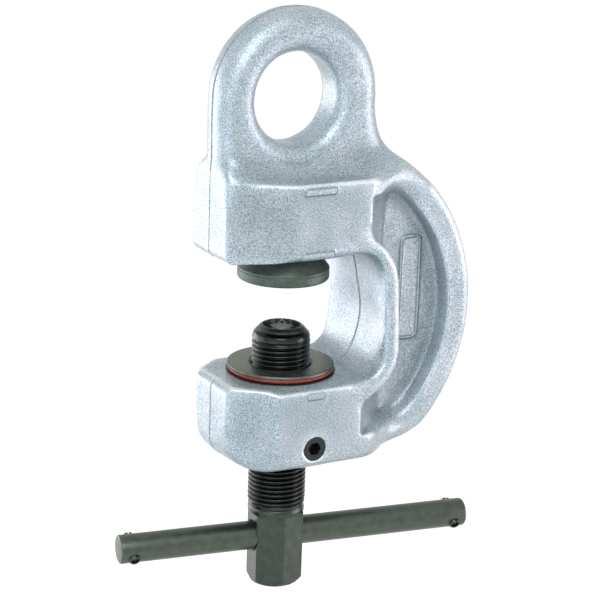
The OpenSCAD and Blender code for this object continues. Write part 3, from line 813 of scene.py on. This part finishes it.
def dressNode(nodeName, material, bevelled=False):
    # a CAD piece whose shape is right already
    piece = frame["nodes"][nodeName]
    piece.data.materials.clear()
    piece.data.materials.append(material)
    weld = piece.modifiers.new("weld", "WELD")
    weld.merge_threshold = dressing["weld"] * mm
    if bevelled:
        bevel = piece.modifiers.new("bevel", "BEVEL")
        bevel.width = dressing["bevel"] * mm
        bevel.segments = dressing["segments"]
        bevel.limit_method = "ANGLE"
        bevel.angle_limit = math.radians(dressing["leastAngle"])


dressNode("bush_set_screw", oxides["blackSocketAndSeatShadeOxide"], bevelled=True)
dressNode("pad_snap_ring", oxides["hardenedSpringSteel"])
dressNode("tip_snap_ring", oxides["hardenedSpringSteel"])


# grip pad
print("stage: grip pad")
padWidth, padFace, stemTop = roundSize("grip_pad")
pad = {
    # heights and diameters in mm; the gap is between the cone's back and the jaw
    "face": padFace, "rimTop": -69.4, "jaw": upperJaw, "gap": 0.6, "stemTop": stemTop,
    "rim": padWidth, "back": 28.0, "neck": 24.0, "stem": 18.0,
    "rimCorner": 3.6, "rimEdge": 0.7, "backEdge": 0.5, "stemEdge": 1.0, "softEdge": 0.2,   # rounding
    # rings in the gripping face, the first at this radius
    "grooves": 4, "firstGroove": 4.0, "grooveStep": 3.4, "grooveDepth": 1.2,
    "grooveEdges": [0.12, 0.15, 0.12],
    # the turning tool's fine mark under the rim's upper edge
    "mark": -70.3, "markReach": 0.22, "markDepth": 0.14, "markEdge": 0.06,
}


def makePad(p):
    rim, deep = p["rim"] / 2, p["grooveDepth"]
    corners, radii = [(0, p["face"])], [0]
    for i in range(p["grooves"]):
        start = p["firstGroove"] + i * p["grooveStep"]
        corners += [(start, p["face"]), (start + deep, p["face"] + deep), (start + 2 * deep, p["face"])]
        radii += p["grooveEdges"]
    corners += [(rim, p["face"]), (rim, p["mark"] - p["markReach"]), (rim - p["markDepth"], p["mark"]),
                (rim, p["mark"] + p["markReach"])]
    radii += [p["rimCorner"]] + [p["markEdge"]] * 3
    behind = p["jaw"] - p["gap"]
    neck, stem = p["neck"] / 2, p["stem"] / 2
    corners += [(rim, p["rimTop"]), (p["back"] / 2, behind), (neck, behind), (neck, p["jaw"]),
                (stem, p["jaw"]), (stem, p["stemTop"]), (0, p["stemTop"])]
    radii += [p["rimEdge"], p["backEdge"]] + [p["softEdge"]] * 3 + [p["stemEdge"], 0]
    return turnedMesh("gripPad", roundCorners(corners, radii, 8), 160)


gripPad = placeObject("gripPad", outwardFaces(makePad(pad)), oxides["turnedPadOxide"])
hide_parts("grip_pad")
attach(gripPad, "pad")


# pressing screw: thread, collar and hexagonal head
print("stage: pressing screw")
screwWidth, screwEnd, screwTop = roundSize("screw_spindle")
barBottom, barTop = roundSize("tommy_bar")[1:]
barAxis = next(joint["axis"] for joint in frame["joints"] if joint["name"] == "bar_slide")
screw = {
    # sizes and heights in mm, direction in degrees
    "diameter": screwWidth, "pitch": 2.0, "threadDepth": 1.23, "top": screwTop, "threadEnd": -172.4,
    # one turn of the thread's profile: share of the pitch, share of the depth
    "threadShape": [(0.00, 0.0), (0.07, 0.0), (0.14, 0.14), (0.42, 0.92),
                    (0.50, 1.0), (0.58, 0.92), (0.86, 0.14), (0.93, 0.0)],
    "endTapers": [(11.1, 0.3), (10.3, 1.1)],       # radius at the top, and its growth for each mm below it
    "plainEnd": 2.6, "startLength": 1.6,           # the thread starts this far down, over this length
    "runOut": 3.0, "runOutDepth": 0.35,            # its last mm, and the share of depth they end at
    "core": (1.8, 1.0),                            # narrower than the thread by, and above its end by
    "hidden": 2.0, "hair": 0.02,                   # how far its ends turn in, and the least distance apart
    "neckStep": 0.6, "neckCuts": (0.8, 0.5),       # thread to collar: step in height, cuts in radius
    "collarEnd": -175.1, "collarEdge": 0.5,
    "headEnd": screwEnd, "headCorners": 23.6, "headFlats": 20.44,
    "headRows": 24, "headRow": 1.2,                # rows of points along the flats, and their step
    # the head's turned-down end: height above its end, and how far the corners are cut back
    "headCuts": [(1.8, 0.0), (1.2, 0.7), (0.6, 1.45), (0.15, 2.1), (0.0, 2.6)],
    "barDirection": round(math.degrees(math.atan2(barAxis[1], barAxis[0])), 2),
    "barHeight": round((barBottom + barTop) / 2, 3), "barDiameter": round(barTop - barBottom, 3),
    # the bar's hole from the middle outwards: wider than the bar by, and height over the flats
    "holeMouth": [(0.1, -0.8), (0.9, 0.1)], "holeEnd": (1.6, 20),
    "crease": 28,             # degrees from which an edge of the head is sharp
}


def makeThread(s, steps=72):
    # a right-hand thread: each turn of its profile rises by the pitch
    radius, depth, pitch = s["diameter"] / 2, s["threadDepth"], s["pitch"]
    end, top = s["threadEnd"], s["top"]
    turns = int((top - end) / pitch) + 2
    rows, rowLength = turns * steps + 1, len(s["threadShape"])
    points, faces = [], []
    for i in range(rows):
        angle = 2 * math.pi * i / steps
        for across, deep in s["threadShape"]:
            height = end - pitch + pitch * (i / steps + across)
            limited = min(max(height, end), top)
            below = top - limited
            starting = min(1, max(0, (below - s["plainEnd"]) / s["startLength"]))
            plain = min([radius] + [start + growth * below for start, growth in s["endTapers"]])
            here = min(plain, radius - depth * deep * starting)
            runOut = max(0.0, 1 - (limited - end) / s["runOut"])
            here = here * (1 - runOut) + (radius - s["runOutDepth"] * depth) * runOut
            if height <= end or height >= top:
                here = min(here, radius - s["hidden"])
            points.append((here * math.cos(angle), here * math.sin(angle), limited))
    for i in range(rows - 1):
        for k in range(rowLength - 1):
            a = i * rowLength + k
            faces.append([a, a + rowLength, a + rowLength + 1, a + 1])
        a = i * rowLength + rowLength - 1
        b = (i + steps) * rowLength
        if i + steps + 1 < rows:
            faces.append([a, a + rowLength, b + rowLength, b])
    thread = meshFromArrays("thread", points, faces)
    inner, low, high = radius - s["core"][0], end + s["core"][1], top - s["hair"]
    core = turnedMesh("screwCore", [(0, low), (inner, low), (inner, high), (0, high)], steps)
    return joinMeshes("threadAndCore", [thread, core])


def hexRadius(angle, flats, corners):
    # distance from the axis to a hexagon's side, its corners turned down
    side = flats / 2 / math.cos((angle + math.pi / 6) % (math.pi / 3) - math.pi / 6)
    return min(side, corners / 2)


def makeHead(s, steps=144):
    threadEnd, collarEnd, corner = s["threadEnd"], s["collarEnd"], s["headCorners"] / 2
    angles = [2 * math.pi * k / steps for k in range(steps)]
    hexagon = [hexRadius(angle, s["headFlats"], s["headCorners"]) for angle in angles]
    # from the thread down: the round collar, the hexagon, and its turned-down end
    neck, step, edge = s["diameter"] / 2, s["neckStep"], s["collarEdge"]
    collar = [(threadEnd + step, neck - s["neckCuts"][0]), (threadEnd, neck - s["neckCuts"][1]),
              (threadEnd - step, corner), (collarEnd + edge, corner),
              (collarEnd, corner - edge / 2), (collarEnd - s["hair"], corner - edge / 2)]
    sections = [(height, [radius] * steps) for height, radius in collar]
    sections += [(collarEnd - s["headRow"] * (i + 0.5), hexagon) for i in range(s["headRows"])]
    sections += [(s["headEnd"] + up, [min(side, corner - cut) for side in hexagon])
                 for up, cut in s["headCuts"]]
    rings, points = [], []
    turn = math.radians(s["barDirection"])
    for height, section in sections:
        rings.append(list(range(len(points), len(points) + steps)))
        points += [(radius * math.cos(angle + turn), radius * math.sin(angle + turn), height)
                   for angle, radius in zip(angles, section)]
    faces = bandFaces(rings) + [list(reversed(rings[-1])), rings[0]]
    work = placeObject("headWork", outwardFaces(meshFromArrays("hexHead", points, faces)))

    # the bar's hole, its mouths rounded off
    bore, flat = s["barDiameter"] / 2, s["headFlats"] / 2
    mouth = [(bore + wider, flat + over) for wider, over in s["holeMouth"]]
    mouth.append((bore + s["holeEnd"][0], s["holeEnd"][1]))
    hole = [(0, -s["holeEnd"][1])] + [(r, -h) for r, h in reversed(mouth)] + mouth + [(0, s["holeEnd"][1])]
    cutter = placeObject("holeCutter", outwardFaces(turnedMesh("barHole", hole, 64)))
    cutter.matrix_world = Matrix.Translation((0, 0, s["barHeight"] * mm)) @ Matrix.Rotation(turn, 4, "Z") \
        @ Matrix.Rotation(math.pi / 2, 4, "Y")
    bpy.context.view_layer.update()
    cut = work.modifiers.new("barHole", "BOOLEAN")
    cut.object = cutter
    cut.solver = "EXACT"
    mesh = bakedModifiers(work)
    bpy.data.objects.remove(cutter)
    return mesh


pressingScrew = placeObject("pressingScrew", outwardFaces(makeThread(screw)), oxides["oiledThreadOxide"])
hexHead = placeObject("hexHead", makeHead(screw), oxides["milledHeadOxide"])
creaseAt(hexHead.data, screw["crease"])
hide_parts("screw_spindle")
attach(pressingScrew, "spindle")
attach(hexHead, "spindle")


# toothed tip
print("stage: toothed tip")
tipWidth, stemEnd, tipTop = roundSize("spindle_tip")
tip = {
    # sizes in mm, crease in degrees
    "diameter": tipWidth, "top": tipTop, "base": screw["top"], "baseEdge": 0.3,
    "stem": 10.0, "stemEnd": stemEnd,
    # the rim is flat out to the plateau, then falls off along a curve
    "plateau": 8.0, "rimFall": 1.5, "rimCurve": 1.6,
    "recess": 0.75, "dish": 4.3, "dishSlope": 0.7,
    "teeth": 12, "toothDepth": 0.8, "grooveEnd": 7.9, "grooveSlope": 0.35,
    # radii of the rings of points, closest where the form turns
    "rings": (0.8, 1.8, 3.0, 4.0, 4.6, 4.8, 5.0, 5.6, 6.2, 6.8,
              7.2, 7.6, 7.9, 8.2, 8.6, 8.9, 9.2, 9.5, 9.75),
    "crease": 35,
}


def makeTip(t, steps=288):
    # height over radius and angle: a rounded rim, twelve triangular teeth and a dished middle
    outer, stem = t["diameter"] / 2, t["stem"] / 2
    turns = [2 * math.pi * k / steps for k in range(steps)]
    points, rings = [(0, 0, t["top"] - t["recess"])], []

    def addRing(radius, heights):
        rings.append(list(range(len(points), len(points) + steps)))
        points.extend((radius * math.cos(a), radius * math.sin(a), h) for a, h in zip(turns, heights))

    for radius in t["rings"] + (outer,):
        pit = t["recess"] * (1 - min(1, max(0, (radius - t["dish"]) / t["dishSlope"])))
        drop = t["rimFall"] * max(0, (radius - t["plateau"]) / (outer - t["plateau"])) ** t["rimCurve"]
        inGroove = min(1, max(0, (t["grooveEnd"] - radius) / t["grooveSlope"]))
        waves = [(k / steps * t["teeth"]) % 1 for k in range(steps)]
        grooves = [t["toothDepth"] * (1 - 2 * abs(wave - 0.5)) * inGroove for wave in waves]
        addRing(radius, [t["top"] - max(pit, groove) - drop for groove in grooves])
    for radius, height in [(outer, t["base"] + t["baseEdge"]), (outer - t["baseEdge"], t["base"]),
                           (stem, t["base"]), (stem, t["stemEnd"])]:
        addRing(radius, [height] * steps)
    faces = [[0, rings[0][k], rings[0][(k + 1) % steps]] for k in range(steps)]
    faces += bandFaces(rings) + [list(reversed(rings[-1]))]
    return outwardFaces(meshFromArrays("toothedTip", points, faces))


toothedTip = placeObject("toothedTip", makeTip(tip), oxides["oiledTipOxide"])
creaseAt(toothedTip.data, tip["crease"])
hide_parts("spindle_tip")
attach(toothedTip, "tip")


# tommy bar and its spring pins
print("stage: tommy bar")
bar = {
    "diameter": screw["barDiameter"], "length": 154.0, "endCorner": 0.9,
    "endRow": 12.0,           # a ring of points this far from each end
    "slid": 9.0,              # how far the bar's middle is from the screw's axis at rest
    "pinDiameter": 5.0, "pinLength": 14.0, "pinWall": 0.9, "pinInset": 5.5, "pinTilt": 28.0,
    "pinSlot": 0.16,          # half the slot, in radians
    # the pin's chamfered end, outside and inside: cut in radius and in length
    "pinOutside": [(0.0, 0.9), (0.1, 0.5), (0.5, 0.0)], "pinInside": 0.2, "pinCrease": 40,
}
alongBar = Matrix.Translation((0, 0, screw["barHeight"] * mm)) \
    @ Matrix.Rotation(math.radians(screw["barDirection"]), 4, "Z") \
    @ Matrix.Translation((bar["slid"] * mm, 0, 0))


def makeBar(b):
    half, radius = b["length"] / 2, b["diameter"] / 2
    row = half - b["endRow"]
    corners = [(0, -half)] + [(radius, along) for along in (-half, -row, 0, row, half)] + [(0, half)]
    radii = [0, b["endCorner"], 0, 0, 0, b["endCorner"], 0]
    return outwardFaces(turnedMesh("tommyBar", roundCorners(corners, radii), 96))


def makeSpringPin(b, steps=40):
    # sheet steel rolled into a tube with a slot along it, its ends chamfered
    half, outer = b["pinLength"] / 2, b["pinDiameter"] / 2
    inner = outer - b["pinWall"]
    upperEnd = [(outer - thinner, half - shorter) for thinner, shorter in b["pinOutside"]]
    upperEnd += [(inner + b["pinInside"], half), (inner, half - b["pinInside"])]
    section = [(radius, -height) for radius, height in reversed(upperEnd)] + upperEnd
    points, rings = [], []
    for k in range(steps + 1):
        angle = math.pi / 2 + b["pinSlot"] + 2 * (math.pi - b["pinSlot"]) * k / steps
        rings.append(list(range(len(points), len(points) + len(section))))
        points += [(r * math.cos(angle), r * math.sin(angle), h) for r, h in section]
    faces = bandFaces(rings) + [rings[0], list(reversed(rings[-1]))]
    return outwardFaces(meshFromArrays("springPin", points, faces))


tommyBar = placeObject("tommyBar", makeBar(bar), oxides["drawnBarOxide"])
tommyBar.data.transform(alongBar @ Matrix.Rotation(math.pi / 2, 4, "Y"))
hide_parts("tommy_bar")
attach(tommyBar, "bar")
pinPlace = (bar["length"] / 2 - bar["pinInset"]) * mm
for side, name, node in ((-1, "springPinLeft", "bar_pin_left"), (1, "springPinRight", "bar_pin_right")):
    pin = placeObject(name, makeSpringPin(bar), oxides["hardenedSpringSteel"])
    creaseAt(pin.data, bar["pinCrease"])
    pin.data.transform(alongBar @ Matrix.Translation((side * pinPlace, 0, 0))
                       @ Matrix.Rotation(math.radians(90 + bar["pinTilt"]), 4, "X"))
    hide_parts(node)
    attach(pin, "bar")


# the end
bpy.context.scene.view_settings.view_transform = "Standard"
print("stage: done")
